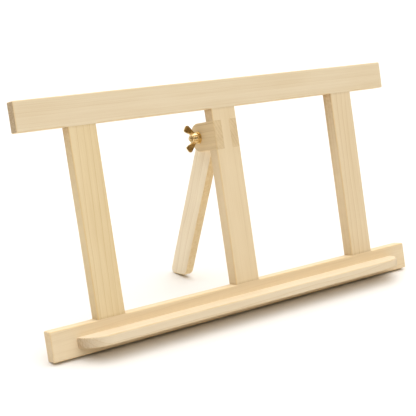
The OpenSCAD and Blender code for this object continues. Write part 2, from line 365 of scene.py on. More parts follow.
def net(distance, low, high, step):
    """Closed surface where distance(x, y, z) is 0, as a net of quads. The box is cut into cells. A cell
    whose corners differ in sign gets one point, the mean of the places where the distance crosses 0 on its
    edges, and each grid edge that crosses 0 gets a quad through the four cells round it."""
    counts = [int(math.ceil((b - a) / step)) + 1 for a, b in zip(low, high)]
    ticks = [a + step * np.arange(n) for a, n in zip(low, counts)]
    value = distance(*np.meshgrid(*ticks, indexing="ij"))
    cells = tuple(n - 1 for n in counts)
    total, hits = np.zeros((*cells, 3)), np.zeros(cells)
    for axis in range(3):
        others = [k for k in range(3) if k != axis]
        first = np.take(value, np.arange(counts[axis] - 1), axis)
        second = np.take(value, np.arange(1, counts[axis]), axis)
        crossed = (first < 0) != (second < 0)
        share = np.where(crossed, first / np.where(first == second, 1, first - second), 0)
        for da in (0, 1):
            for db in (0, 1):
                pick = [slice(None)] * 3
                pick[others[0]] = slice(da, da + cells[others[0]])
                pick[others[1]] = slice(db, db + cells[others[1]])
                mark = crossed[tuple(pick)]
                total[..., axis] += np.where(mark, share[tuple(pick)], 0)
                total[..., others[0]] += mark * da
                total[..., others[1]] += mark * db
                hits += mark
    used = hits > 0
    number = np.full(cells, -1)
    number[used] = np.arange(int(used.sum()))
    corner = np.stack(np.nonzero(used), -1)
    points = np.array(low) + step * (corner + total[used] / hits[used][:, None])
    quads = []
    for axis in range(3):
        b, c = (axis + 1) % 3, (axis + 2) % 3
        first = np.take(value, np.arange(counts[axis] - 1), axis) < 0
        second = np.take(value, np.arange(1, counts[axis]), axis) < 0
        place = np.stack(np.nonzero(first != second), -1)
        inside = first[tuple(place.T)]
        around = []
        for db, dc in ((1, 1), (0, 1), (0, 0), (1, 0)):
            shifted = place.copy()
            shifted[:, b] -= db
            shifted[:, c] -= dc
            around.append(number[tuple(shifted.T)])
        quad = np.stack(around, -1)
        quads.append(np.where(inside[:, None], quad, quad[:, ::-1]))
    return points, np.concatenate(quads).tolist()


# ------------------------------------------------------------------ shader nodes


def put(tree, kind, inputs=None, **settings):
    """Adds a node, sets its settings, and joins or sets its inputs."""
    node = tree.nodes.new(kind)
    for key, value in settings.items():
        setattr(node, key, value)
    for key, value in (inputs or {}).items():
        if isinstance(value, bpy.types.NodeSocket):
            tree.links.new(value, node.inputs[key])
        else:
            node.inputs[key].default_value = value
    return node


def calc(tree, operation, *values, clamp=False):
    """Output of a Math node."""
    inputs = dict(enumerate(values))
    return put(tree, "ShaderNodeMath", inputs, operation=operation, use_clamp=clamp).outputs[0]


def between(tree, value, low, high, to_low=0.0, to_high=1.0):
    """Smooth step of a value from low..high to two others."""
    inputs = {"Value": value, "From Min": low, "From Max": high, "To Min": to_low, "To Max": to_high}
    return put(tree, "ShaderNodeMapRange", inputs, interpolation_type="SMOOTHSTEP").outputs["Result"]


def blend_colours(tree, share, first, second, blend="MIX"):
    """Output of a colour Mix node."""
    node = put(tree, "ShaderNodeMix", data_type="RGBA", blend_type=blend)
    pairs = zip(("Factor_Float", "A_Color", "B_Color"), (share, first, second))
    for key, value in pairs:
        socket = next(i for i in node.inputs if i.identifier == key)
        if isinstance(value, bpy.types.NodeSocket):
            tree.links.new(value, socket)
        else:
            socket.default_value = value
    return next(o for o in node.outputs if o.identifier == "Result_Color")


def plus(tree, first, second, clamp=False):
    """Sum of two values."""
    return calc(tree, "ADD", first, second, clamp=clamp)


def minus(tree, first, second):
    """Difference of two values."""
    return calc(tree, "SUBTRACT", first, second)


def times(tree, first, second, clamp=False):
    """Product of two values."""
    return calc(tree, "MULTIPLY", first, second, clamp=clamp)


# How many times a metre each pattern changes along the grain, across it and through the board
SWAY = (9.0, 16.0, 16.0)
FIBRES = (16.0, 1000.0, 1000.0)
BANDS = (5.0, 120.0, 120.0)
PATCHES = (11.0, 34.0, 34.0)
PORES = (170.0, 1500.0, 1500.0)
FLECKS = (300.0, 700.0, 250.0)
RUBS = (60.0, 60.0, 60.0)
CLOUDS = (240.0, 240.0, 240.0)
CAST_SKIN = (2400.0, 2400.0, 2400.0)
PAPER_TOOTH = (900.0, 900.0, 900.0)


def stretched_noise(tree, point, scales, seed, detail=2.0, roughness=0.5):
    """Noise of a point whose axes are scaled apart and shifted by a seed."""
    scaled = put(tree, "ShaderNodeVectorMath", {0: point, 1: scales}, operation="MULTIPLY").outputs[0]
    shift = put(tree, "ShaderNodeCombineXYZ", {"X": seed, "Y": seed, "Z": seed}).outputs[0]
    moved = put(tree, "ShaderNodeVectorMath", {0: scaled, 1: shift}, operation="ADD").outputs[0]
    inputs = {"Vector": moved, "Scale": 1.0, "Detail": detail, "Roughness": roughness}
    return put(tree, "ShaderNodeTexNoise", inputs).outputs[0]


SOCKETS = {"VECTOR": "NodeSocketVector", "FLOAT": "NodeSocketFloat", "COLOR": "NodeSocketColor"}


def new_group(name, inputs, outputs):
    """An empty shader node group with named sockets. Returns its tree and what its inputs give."""
    tree = bpy.data.node_groups.new(name, "ShaderNodeTree")
    for side, sockets in (("INPUT", inputs), ("OUTPUT", outputs)):
        for label, kind in sockets.items():
            tree.interface.new_socket(name=label, in_out=side, socket_type=SOCKETS[kind])
    return tree, put(tree, "NodeGroupInput").outputs


def group_outputs(tree, **values):
    """Joins a group's outputs, named by their labels in lower case."""
    end = put(tree, "NodeGroupOutput")
    for label, value in values.items():
        tree.links.new(value, end.inputs[label.replace("_", " ").title()])


def straight_grain():
    """Node group of sawn wood. X runs along the grain. Growth rings are at distances from a pith beside the
    board, sqrt(across^2 + deep^2) with a slow sway. Each is pale at first and dark at its end, some more than
    others. Fine fibres, bands, patches and short pores lie over them."""
    tree, given = new_group(
        "Straight Grain",
        {"Point": "VECTOR", "Pith": "VECTOR", "Ring Width": "FLOAT", "Slant": "FLOAT", "Wander": "FLOAT",
         "Contrast": "FLOAT", "Streaks": "FLOAT", "Seed": "FLOAT", "Light": "COLOR", "Dark": "COLOR"},
        {"Color": "COLOR", "Roughness": "FLOAT", "Height": "FLOAT"})
    point, seed = given["Point"], given["Seed"]
    xyz = put(tree, "ShaderNodeSeparateXYZ", {0: point}).outputs
    pith = put(tree, "ShaderNodeSeparateXYZ", {0: given["Pith"]}).outputs
    sway = times(tree, minus(tree, stretched_noise(tree, point, SWAY, seed), 0.5), given["Wander"])
    across = minus(tree, plus(tree, xyz[1], times(tree, xyz[0], given["Slant"])), pith[1])
    deep = minus(tree, xyz[2], pith[2])
    square = plus(tree, times(tree, across, across), times(tree, deep, deep))
    rings = calc(tree, "DIVIDE", plus(tree, calc(tree, "SQRT", square), sway), given["Ring Width"])
    part = calc(tree, "FRACT", rings)
    number = plus(tree, calc(tree, "FLOOR", rings), seed)
    luck = put(tree, "ShaderNodeTexWhiteNoise", {"W": number}, noise_dimensions="1D").outputs["Value"]
    slow = between(tree, part, 0.2, 0.9, 0.0, 0.22)
    rise = plus(tree, slow, between(tree, part, 0.84, 0.95, 0.0, 0.78))
    late = times(tree, rise, between(tree, part, 0.955, 1.0, 1.0, 0.0))
    late = times(tree, late, between(tree, luck, 0.0, 1.0, 0.3, 1.0))
    late = times(tree, late, given["Contrast"])
    fibre = stretched_noise(tree, point, FIBRES, seed, 4.0, 0.65)
    band = minus(tree, stretched_noise(tree, point, BANDS, seed), 0.5)
    patch = minus(tree, stretched_noise(tree, point, PATCHES, seed), 0.5)
    pore = between(tree, stretched_noise(tree, point, PORES, seed, 1.0), 0.68, 0.8)
    mixed = plus(tree, minus(tree, fibre, 0.5), times(tree, band, 0.9))
    mixed = plus(tree, times(tree, mixed, given["Streaks"]), times(tree, patch, 0.4))
    dark = plus(tree, plus(tree, late, mixed), times(tree, pore, 0.12))
    dark = plus(tree, dark, 0.12, clamp=True)
    roughness = plus(tree, times(tree, fibre, 0.22), 0.5)
    height = minus(tree, times(tree, fibre, 0.8), plus(tree, late, pore))
    colour = blend_colours(tree, dark, given["Light"], given["Dark"])
    group_outputs(tree, color=colour, roughness=roughness, height=height)
    return tree


def sanded_edge():
    """Node group of sanding: eased edges turn towards an edge colour where they were rubbed, and end grain
    soaks up dirt and turns darker in small flecks. On the stiles the end mask also carries dark seams and
    painted shade, which darken in the same flecks."""
    tree, given = new_group(
        "Sanded Edge",
        {"Color": "COLOR", "Point": "VECTOR", "Eased": "FLOAT", "End": "FLOAT", "Edge Color": "COLOR",
         "End Color": "COLOR", "Seed": "FLOAT"},
        {"Color": "COLOR"})
    wood_colour, point, end = given["Color"], given["Point"], given["End"]
    fleck = stretched_noise(tree, point, FLECKS, given["Seed"], 3.0, 0.6)
    # Darkening by the end mask: end grain, and on the stiles also painted shade
    soak_and_shade = times(tree, end, between(tree, fleck, 0.3, 0.7, 0.55, 1.0))
    darker = blend_colours(tree, 1.0, wood_colour, given["End Color"], "MULTIPLY")
    tinted = blend_colours(tree, soak_and_shade, wood_colour, darker)
    rub = stretched_noise(tree, point, RUBS, given["Seed"])
    worn = times(tree, given["Eased"], between(tree, rub, 0.25, 0.6, 0.5, 0.9))
    worn = times(tree, worn, minus(tree, 1.0, times(tree, end, 0.5)))
    rubbed = blend_colours(tree, 1.0, tinted, given["Edge Color"], "MULTIPLY")
    group_outputs(tree, color=blend_colours(tree, worn, tinted, rubbed))
    return tree


def handled_metal():
    """Node group of handled metal: a fine cast skin with cloudy tarnish, worn bright where it is eased.
    On the wing nut that mask is partly painted light: highlights on hub and rims, shade on the wing faces.
    """
    tree, given = new_group(
        "Handled Metal",
        {"Point": "VECTOR", "Worn": "FLOAT", "Bright": "COLOR", "Tarnish": "COLOR", "Cover": "FLOAT",
         "Seed": "FLOAT"},
        {"Color": "COLOR", "Roughness": "FLOAT", "Height": "FLOAT"})
    cloud = stretched_noise(tree, given["Point"], CLOUDS, given["Seed"], 3.0, 0.6)
    skin = stretched_noise(tree, given["Point"], CAST_SKIN, given["Seed"], 3.0, 0.6)
    cover = times(tree, between(tree, cloud, 0.3, 0.7, 0.6, 1.0), given["Cover"])
    cover = times(tree, cover, minus(tree, 1.0, given["Worn"]), clamp=True)
    colour = blend_colours(tree, cover, given["Bright"], given["Tarnish"])
    roughness = plus(tree, plus(tree, times(tree, cover, 0.08), times(tree, skin, 0.1)), 0.1)
    group_outputs(tree, color=colour, roughness=roughness, height=skin)
    return tree


def shared_group(name, maker):
    """The node group of that name, made the first time it is asked for."""
    return bpy.data.node_groups.get(name) or maker()


def new_material(name, colour):
    """A material with an empty node tree but for its output, and a colour for the solid view."""
    material = bpy.data.materials.new(name)
    material.use_nodes = True
    material.node_tree.nodes.clear()
    material.diffuse_color = (*colour, 1.0)
    return material, material.node_tree


def piece_point(tree, axes):
    """Object coordinates turned so that X runs along the piece."""
    turn, shift = axes.mapping()
    coordinates = put(tree, "ShaderNodeTexCoord").outputs["Object"]
    inputs = {"Vector": coordinates, "Location": shift, "Rotation": turn}
    return put(tree, "ShaderNodeMapping", inputs).outputs[0]


def mask(tree, name):
    """A piece's own mask."""
    return put(tree, "ShaderNodeAttribute", attribute_name=name).outputs["Fac"]


def close_material(tree, colour, roughness, height, depth, **shader):
    """Joins colour, roughness and a bump of that depth to the shader, whose other sockets are plain
    numbers."""
    bump = put(tree, "ShaderNodeBump", {"Strength": 0.5, "Distance": depth, "Height": height}).outputs[0]
    inputs = {"Base Color": colour, "Roughness": roughness, "Normal": bump, **shader}
    surface = put(tree, "ShaderNodeBsdfPrincipled", inputs).outputs[0]
    put(tree, "ShaderNodeOutputMaterial", {"Surface": surface})


def rgba(colour):
    """A colour with full cover."""
    return (*colour, 1.0)


GRAIN_DEPTH = 0.12 * MM
SKIN_DEPTH = 0.03 * MM


def wood(name, axes, light, dark, seed, pith, ring, slant=0.0, sway=4.0, contrast=0.4, streaks=0.5,
         end=None, edges=True):
    """Sanded wood with its grain along the piece. The pith (across, out of the face), ring width and sway
    are in millimetres, and end is what end grain is tinted with, on the stiles also the dark seams and painted
    shade."""
    looks = bpy.context.scene.easel_wood
    material, tree = new_material(name, light)
    point, seed = piece_point(tree, axes), float(seed)
    inputs = {"Point": point, "Pith": (0.0, pith[0] * MM, pith[1] * MM), "Ring Width": ring * MM,
              "Slant": slant, "Wander": sway * MM, "Contrast": contrast, "Streaks": streaks, "Seed": seed,
              "Light": rgba(light), "Dark": rgba(dark)}
    grain_group = shared_group("Straight Grain", straight_grain)
    grain = put(tree, "ShaderNodeGroup", inputs, node_tree=grain_group).outputs
    colour = grain["Color"]
    if edges:
        # The end mask holds end grain, and on the stiles also their dark seams and painted shade
        inputs = {"Color": colour, "Point": point, "Eased": mask(tree, "eased"),
                  "End": mask(tree, "end_grain"), "Edge Color": rgba(looks.edge_tint),
                  "End Color": rgba(end or looks.end_tint), "Seed": seed}
        edge_group = shared_group("Sanded Edge", sanded_edge)
        colour = put(tree, "ShaderNodeGroup", inputs, node_tree=edge_group).outputs["Color"]
    close_material(tree, colour, grain["Roughness"], grain["Height"], GRAIN_DEPTH,
                   **{"Specular IOR Level": 0.35})
    return material


def metal(name, axes, bright, tarnish, cover, seed):
    """Handled metal with that share of tarnish, but for where it is worn."""
    material, tree = new_material(name, bright)
    inputs = {"Point": piece_point(tree, axes), "Worn": mask(tree, "eased"), "Bright": rgba(bright),
              "Tarnish": rgba(tarnish), "Cover": cover, "Seed": float(seed)}
    skin_group = shared_group("Handled Metal", handled_metal)
    out = put(tree, "ShaderNodeGroup", inputs, node_tree=skin_group).outputs
    close_material(tree, out["Color"], out["Roughness"], out["Height"], SKIN_DEPTH, Metallic=1.0)
    return material


# ------------------------------------------------------------------ what a user may change


def size(name, description, millimetres):
    """A length property."""
    return bpy.props.FloatProperty(name=name, description=description, default=millimetres * MM,
                                   unit="LENGTH", subtype="DISTANCE", precision=4)


def colour(name, description, value):
    """A colour property."""
    return bpy.props.FloatVectorProperty(name=name, description=description, default=value, size=3,
                                         subtype="COLOR", min=0.0, max=1.0)


class EaselSizes(bpy.types.PropertyGroup):
    """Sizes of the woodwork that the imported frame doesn't already fix."""
    edge: size("Eased edge", "Radius of the boards' eased edges", 1.6)
    leg_edge: size("Leg edge", "Radius of the leg's eased edges", 1.4)
    cheek_edge: size("Cheek edge", "Radius of the cheeks' outer edges behind the stile", 0.9)
    ledge_thick: size("Ledge thickness", "Thickness of the picture ledge", 11.0)
    cheek_radius: size("Cheek radius", "Radius of the cheeks' round ends", 16.6)
    leg_width: size("Leg width", "Width of the prop leg", 33.0)
    foot_rear: size("Rear foot corner", "Radius of the corner that stands on the floor", 5.5)
    foot_front: size("Front foot corner", "Radius of the foot's front corner", 13.0)
    foot_cut: bpy.props.FloatProperty(name="Foot cut", description="Angle of the cut across the foot",
                                      default=math.radians(30), subtype="ANGLE", unit="ROTATION")
    bore: size("Bolt hole", "Radius of the holes for the bolt", 3.08)


class EaselHardware(bpy.types.PropertyGroup):
    """Sizes and colours of the bolt, washer, wing nut and screws."""
    bolt: size("Bolt", "Thread radius of the bolt", 3.0)
    head: size("Bolt head", "Radius of the domed head", 7.25)
    head_high: size("Head height", "Height of the domed head", 3.4)
    neck: size("Neck", "Length of the square neck", 4.0)
    pitch: size("Pitch", "Pitch of the thread", 1.0)
    hub_base: size("Hub base", "Radius of the wing nut's hub at the washer", 6.3)
    hub_end: size("Hub end", "Radius of the hub at its outer end", 5.2)
    hub_long: size("Hub length", "Length of the hub", 8.8)
    wing_thick: size("Wing thickness", "Thickness of the wings", 2.4)
    screw: size("Screw", "Radius of the screw shank", 1.75)
    screw_head: size("Screw head", "Radius of the countersunk head", 3.5)
    screw_long: size("Screw length", "Length of the screws", 30.0)
    screws: bpy.props.IntProperty(name="Screws", description="How many screws hold the ledge", default=4,
                                  min=2)
    bright: colour("Bright brass", "Brass where it is rubbed bright", (0.85, 0.64, 0.33))
    tarnish: colour("Tarnish", "Brass under its tarnish", (0.19, 0.115, 0.035))
    ring: colour("Washer brass", "Brass of the washer", (0.82, 0.58, 0.22))
    zinc: colour("Zinc", "Zinc plating of the screws", (0.62, 0.6, 0.55))
    zinc_dull: colour("Dull zinc", "Zinc plating under its tarnish", (0.3, 0.29, 0.27))


class EaselWood(bpy.types.PropertyGroup):
    """Colours of the wood."""
    pale: colour("Pale wood", "Early wood of the pale boards", (0.83, 0.69, 0.475))
    pale_line: colour("Pale wood's lines", "Late wood of the pale boards", (0.66, 0.47, 0.235))
    warm: colour("Warm wood", "Early wood of the left stile", (0.84, 0.67, 0.405))
    warm_line: colour("Warm wood's lines", "Late wood of the left stile", (0.62, 0.42, 0.16))
    cross: colour("Cheek wood", "Early wood of the cheeks", (0.79, 0.61, 0.355))
    cross_line: colour("Cheek wood's lines", "Late wood of the cheeks", (0.5, 0.34, 0.16))
    dowel: colour("Dowel wood", "Wood of the dowels", (0.6, 0.42, 0.23))
    edge_tint: colour("Edge tint", "What the eased edges are tinted with", (1.0, 0.93, 0.78))
    end_tint: colour("End grain tint", "What end grain is tinted with", (0.9, 0.87, 0.84))


class EaselStudio(bpy.types.PropertyGroup):
    """Camera, floor and light."""
    camera_at: bpy.props.FloatVectorProperty(
        name="Camera", description="Where the camera stands", size=3, subtype="TRANSLATION", unit="LENGTH",
        default=(-0.583602, -0.863255, 0.410265))
    camera_turn: bpy.props.FloatVectorProperty(
        name="Camera turn", description="How the camera is turned", size=3, subtype="EULER", unit="ROTATION",
        default=(math.radians(73.88961), math.radians(0.62611), math.radians(-33.71228)))
    lens: bpy.props.FloatProperty(
        name="Lens", description="Focal length in millimetres", default=78.444, min=10.0, max=300.0)
    dome: bpy.props.FloatProperty(
        name="Dome", description="Strength of the light from all round", default=0.03, min=0.0)
    above: bpy.props.FloatProperty(
        name="Top light", description="Strength of the wide light above", default=3.72, min=0.0)
    above_wide: bpy.props.FloatProperty(
        name="Top light width", description="Angle that the light above fills", default=math.radians(100),
        subtype="ANGLE", unit="ROTATION")
    above_turn: bpy.props.FloatVectorProperty(
        name="Top light turn", description="How the light above is turned", size=3, subtype="EULER",
        unit="ROTATION", default=(math.radians(8), math.radians(6), 0))
    back: bpy.props.FloatProperty(
        name="Backdrop light", description="Brightness of the backdrop behind", default=0.4, min=0.0)
    sheen: bpy.props.FloatProperty(
        name="Backdrop sheen", description="What reflections add to the backdrop", default=0.6, min=0.0)
    floor: colour("Floor", "Colour of the floor", (0.885, 0.86, 0.825))
    floor_side: bpy.props.FloatProperty(name="Floor side", description="Side of the square floor",
                                        default=60.0, unit="LENGTH", subtype="DISTANCE")


# ------------------------------------------------------------------ woodwork

STILES = ("left_stile", "centre_stile", "right_stile")
UPPER_FRONT, LOWER_FRONT, LOWER_BACK, UPPER_BACK = range(4)
# Colour that darkens the stiles' dark seams and the shade painted on their sides
SEAM_AND_SHADE_TINT = (0.6, 0.5, 0.38)


def tinted(colour, *shares):
    """A colour with each channel scaled."""
    return tuple(c * share for c, share in zip(colour, shares))


def board(node, axes, rings, eased, cut, slot, body="frame", joined=False, label=None, **look):
    """Places a board's rings by its axes and builds it in wood of its own. The masks say how far each point
    is round an eased edge, and how much it shows cut wood, dark seams and painted shade."""
    shell = loft(axes.place(rings), joined)
    label = label or node.replace("_", " ").capitalize()
    material = wood(label + " wood", axes, **look)
    build(node + "_board", [shell], material, body, node, slot, eased=[np.ravel(eased)],
          end_grain=[np.ravel(cut)])


SEAT_SOFT = 1.6 * MM


def rail(node, up, inner_corners, **look):
    """A rail along X with all its edges eased, but for its inner edge where the stiles stand."""
    edge = bpy.context.scene.easel_sizes.edge
    axes = Axes((0, BOARD_T / 2, up), (1, 0, 0), (0, 0, 1))
    places = [middle_x(n) for n in STILES]
    seats = [(x - BOARD_W / 2, x + BOARD_W / 2, inner_corners, SEAT_SOFT) for x in places]
    rings, eased, cut = plain_board(width_x(node), BOARD_W / 2, BOARD_T / 2, edge, edge, look["seed"], seats)
    board(node, axes, rings, eased, cut, "pale_wood", **look)


SEAM_SHARE, SEAM_REACH = 0.5, 0.8 * MM
# Painted shade on the stiles' sides: darker towards the rails, most of it under the top rail, and a painted
# contact shadow right at each joint
SIDE_SHADE_SHARE, SIDE_SHADE_REACH = 0.75, 45 * MM
CONTACT_SHADE_SHARE, CONTACT_SHADE_REACH = 0.25, 3 * MM
LOWER_SHADE_SHARE = 0.3
SIDE_SOFT = 0.5 * MM


def stile(node, slot, housing=None, **look):
    """A stile between the rails, butting against both. A housing narrows the centre one to a tongue. Its end
    mask also falls off along the board as share exp(-distance / reach): a dark seam at each joint, and painted
    shade on its sides with a painted contact shadow at the joints, most of it under the top rail."""
    edge = bpy.context.scene.easel_sizes.edge
    axes = Axes((middle_x(node), BOARD_T / 2, BOARD_W + STILE_LEN / 2), (0, 0, 1), (-1, 0, 0))
    seats = [(housing[0], housing[1], range(4), HAIR / 2)] if housing else ()
    rings, eased, cut = plain_board(STILE_LEN, BOARD_W / 2, BOARD_T / 2, edge, 2 * HAIR, look["seed"], seats,
                                    housing)
    away = STILE_LEN / 2 - np.abs(rings[..., 0])
    # Painted shade on the side faces only, strongest at the upper end under the top rail
    side = smooth((np.abs(rings[..., 1]) - BOARD_W / 2) / SIDE_SOFT + 1)
    upper = np.where(rings[..., 0] > 0, 1.0, LOWER_SHADE_SHARE)
    painted_shade = SIDE_SHADE_SHARE * np.exp(-away / SIDE_SHADE_REACH) + CONTACT_SHADE_SHARE * np.exp(-away / CONTACT_SHADE_REACH)
    seam = SEAM_SHARE * np.exp(-away / SEAM_REACH)
    cut = np.maximum(cut, np.maximum(seam, side * upper * painted_shade))
    board(node, axes, rings, eased, cut, slot, end=SEAM_AND_SHADE_TINT, **look)


FACING = 0.9
TURNING = 0.5


def turned(share, start):
    """How far an outline has turned towards a direction, from the share of its outward direction that points
    there: 0 up to a start, 1 half a unit on."""
    return smooth((share - start) / TURNING)


INNER_EDGE = 0.3 * MM
EASE_IN = 6 * MM


def cheek(node, outer, **look):
    """A cheek: square at the frame's front face, half round about the bolt. Its grain runs front to back. The
    front edge of its outer face is eased like the stile's, and its sides only behind the stile."""
    sizes = bpy.context.scene.easel_sizes
    radius, deep = sizes.cheek_radius, PIVOT_BACK
    axes = Axes((middle_x(node), PIVOT_BACK, PIVOT_UP), (0, 1, 0), (0, 0, 1))
    hair = HAIR / 2
    front, side = -deep + hair, radius - hair
    rim, outward = rim_of([
        ((0, 0), radius, -math.pi / 2, math.pi / 2),
        ((front, side), hair, math.pi / 2, math.pi),
        ((front, -side), hair, math.pi, 1.5 * math.pi)], arc_steps=32, run_steps=18)
    x = rim[:, :1]
    behind = smooth((x + deep - BOARD_T) / EASE_IN)
    fore = np.clip(-x / deep, 0, 1)

    def edge(front_r, side_r):
        """Inset and depth of an edge of those two radii, before the stile's back and behind it."""
        inset = front_r * fore * np.array([[-1.0, 0.0]]) + side_r * behind * outward
        depth = front_r * (1 - behind) + side_r * behind
        return inset, depth[:, 0]

    outer_edge, inner_edge = edge(sizes.edge, sizes.cheek_edge), edge(HAIR, INNER_EDGE)
    top, bottom = (outer_edge, inner_edge) if outer > 0 else (inner_edge, outer_edge)
    rings, eased, on_rim = plate(rim, width_x(node) / 2, top, bottom, sizes.bore)
    at_front = outward[:, 0] < -FACING
    ends = at_front + turned(outward[:, 0], 0.35)
    eased = eased * np.maximum(behind[:, 0], at_front)
    board(node, axes, rings, eased, on_rim * ends, "cross_wood", joined=True, **look)


class EASEL_OT_add_rails(bpy.types.Operator):
    """Top and bottom rail"""
    bl_idname = "easel.add_rails"
    bl_label = "Rails"

    def execute(self, context):
        looks = context.scene.easel_wood
        rail("top_rail", FRAME_H - BOARD_W / 2, (LOWER_FRONT, LOWER_BACK), light=looks.pale,
             dark=looks.pale_line, seed=11, pith=(150, -60), ring=3.4, slant=0.004, sway=3.0, contrast=0.36,
             streaks=0.6, end=(0.5, 0.42, 0.33))
        rail("bottom_rail", BOARD_W / 2, (UPPER_FRONT, UPPER_BACK), light=tinted(looks.pale, 1.03, 1.0, 0.96),
             dark=looks.pale_line, seed=23, pith=(-95, -40), ring=6.0, slant=-0.035, sway=7.0, contrast=0.3,
             streaks=0.6)
        return {"FINISHED"}


class EASEL_OT_add_stiles(bpy.types.Operator):
    """Left, centre and right stile"""
    bl_idname = "easel.add_stiles"
    bl_label = "Stiles"

    def execute(self, context):
        looks = context.scene.easel_wood
        radius = context.scene.easel_sizes.cheek_radius
        middle = PIVOT_UP - BOARD_W - STILE_LEN / 2
        tongue = BOARD_W / 2 - width_x("left_cheek")
        housing = (middle - radius, middle + radius, tongue)
        stile("left_stile", "warm_wood", light=looks.warm, dark=looks.warm_line, seed=5, pith=(40, -30),
              ring=5.4, slant=0.03, sway=3.0, contrast=0.45, streaks=0.55)
        stile("centre_stile", "pale_wood", housing, light=tinted(looks.pale, 1.0, 0.965, 0.9),
              dark=looks.pale_line, seed=31, pith=(-120, -30), ring=6.0, slant=0.0, sway=4.0, contrast=0.32,
              streaks=0.5)
        stile("right_stile", "pale_wood", light=tinted(looks.pale, 0.99, 0.96, 0.91), dark=looks.pale_line,
              seed=47, pith=(30, -20), ring=5.0, slant=0.02, sway=8.0, contrast=0.8, streaks=0.55)
        return {"FINISHED"}


LEDGE_WANDER, LEDGE_WAVE, LEDGE_SEED = 0.14, 0.3, 8


class EASEL_OT_add_ledge(bpy.types.Operator):
    """Picture ledge with quarter-round ends"""
    bl_idname = "easel.add_ledge"
    bl_label = "Picture ledge"

    def execute(self, context):
        looks = context.scene.easel_wood
        sizes = context.scene.easel_sizes
        long = width_x("ledge")
        deep = -2 * float(LEDGE_POINT @ BACK)
        top = float(LEDGE_POINT @ UP)
        axes = Axes((middle_x("ledge"), 0, top - sizes.ledge_thick / 2), (1, 0, 0), (0, 1, 0))
        end = long / 2 - deep
        rim, outward = rim_of([((-end, 0), deep, math.pi, 1.5 * math.pi),
                               ((end, 0), deep, 1.5 * math.pi, 2 * math.pi)], arc_steps=28, run_steps=60)
        at_back = rim[:, 1] > -HAIR / 1000
        outward[at_back] = np.column_stack([2 * rim[at_back, 0] / long, np.zeros(at_back.sum())])
        wobble = 1 + LEDGE_WANDER * wander(rim[:, 0], LEDGE_SEED, LEDGE_WAVE)
        edge = (sizes.edge * wobble[:, None] * outward, sizes.edge * wobble)
        rings, eased, on_rim = plate(rim, sizes.ledge_thick / 2, edge, edge, middle=(0, -deep / 2))
        ends = np.where(at_back, 0, outward[:, 0] ** 2)
        board("ledge", axes, rings, eased * ~at_back, on_rim * ends, "pale_wood",
              light=tinted(looks.pale, 0.99, 1.0, 1.05), dark=looks.pale_line, seed=61, pith=(30, -48),
              ring=5.0, slant=0.012, sway=6.0, contrast=0.4, streaks=0.55, end=(0.62, 0.54, 0.45))
        return {"FINISHED"}


class EASEL_OT_add_cheeks(bpy.types.Operator):
    """Two cheeks of the clevis"""
    bl_idname = "easel.add_cheeks"
    bl_label = "Cheeks"

    def execute(self, context):
        looks = context.scene.easel_wood
        look = {"light": looks.cross, "dark": looks.cross_line, "contrast": 0.55, "streaks": 0.6,
                "end": (0.97, 0.96, 0.97)}
        cheek("left_cheek", -1, seed=71, pith=(45, 75), ring=3.6, **look)
        cheek("right_cheek", 1, seed=83, pith=(-40, -70), ring=3.4, **look)
        return {"FINISHED"}


LEG_WANDER, LEG_WAVE, LEG_SEED = 0.12, 0.2, 17


class EASEL_OT_add_leg(bpy.types.Operator):
    """Prop leg with a half-round top and an angled, rounded foot"""
    bl_idname = "easel.add_leg"
    bl_label = "Prop leg"

    def execute(self, context):
        looks = context.scene.easel_wood
        sizes = context.scene.easel_sizes
        along = (0, math.sin(LEG_SPREAD), -math.cos(LEG_SPREAD))
        across = (0, math.cos(LEG_SPREAD), math.sin(LEG_SPREAD))
        axes = Axes((0, PIVOT_BACK, PIVOT_UP), along, across)
        half = sizes.leg_width / 2
        tilt = LEG_SPREAD - math.asin(LEAN_SIN)
        pivot_high = joint("leg_swing")["pos_m"][2]
        rear, front, cut = sizes.foot_rear, sizes.foot_front, sizes.foot_cut
        rear_at = (pivot_high + (half - rear) * math.sin(tilt) - rear) / math.cos(tilt)
        front_at = rear_at - (2 * half - rear - front) * math.tan(cut) + (rear - front) / math.cos(cut)
        rim, outward = rim_of([
            ((0, 0), half, math.pi / 2, 1.5 * math.pi),
            ((front_at, front - half), front, -math.pi / 2, -cut),
            ((rear_at, half - rear), rear, -cut, math.pi / 2)], arc_steps=32, run_steps=40)
        wobble = 1 + LEG_WANDER * wander(rim[:, 0], LEG_SEED, LEG_WAVE)
        edge = (sizes.leg_edge * wobble[:, None] * outward, sizes.leg_edge * wobble)
        rings, eased, on_rim = plate(rim, width_x("prop_leg") / 2, edge, edge, sizes.bore)
        # The end mask also takes in the leg's long front face, darkened and flecked like end grain though its
        # grain runs along it
        ends = np.maximum(turned(np.abs(outward[:, 0]), 0.3), outward[:, 1] < -FACING)
        eased = np.broadcast_to(eased, rings.shape[:2])
        board("prop_leg", axes, rings, eased, on_rim * ends, "pale_wood", "leg", True, "Leg",
              light=tinted(looks.pale, 1.19, 1.24, 1.33), dark=looks.pale_line, seed=97, pith=(45, -140),
              ring=3.5, slant=0.01, contrast=0.4, end=(0.84, 0.76, 0.58))
        return {"FINISHED"}


class EASEL_OT_finish_dowels(bpy.types.Operator):
    """Wood for the glued dowels, which keep their shape"""
    bl_idname = "easel.finish_dowels"
    bl_label = "Dowels"

    def execute(self, context):
        looks = context.scene.easel_wood
        axes = Axes((0, BOARD_T / 2, 0), (0, 0, 1), (-1, 0, 0))
        material = wood("Dowel wood", axes, light=looks.dowel, dark=looks.cross_line, seed=3, pith=(20, -12),
                        ring=2.5, sway=1.0, contrast=0.5, streaks=0.6, edges=False)
        for node, piece in frame["nodes"].items():
            if node.endswith("_dowels"):
                piece.data.materials.clear()
                piece.data.materials.append(material)
        return {"FINISHED"}


# ------------------------------------------------------------------ hardware


def thread_wave(x, angle, pitch):
    """A wave that climbs one pitch a turn, |2 frac(x / pitch - turns) - 1|: 1 at the bottom of the groove and
    0 on the crest."""
    return np.abs(2 * ((x / pitch - angle / TURN) % 1) - 1)


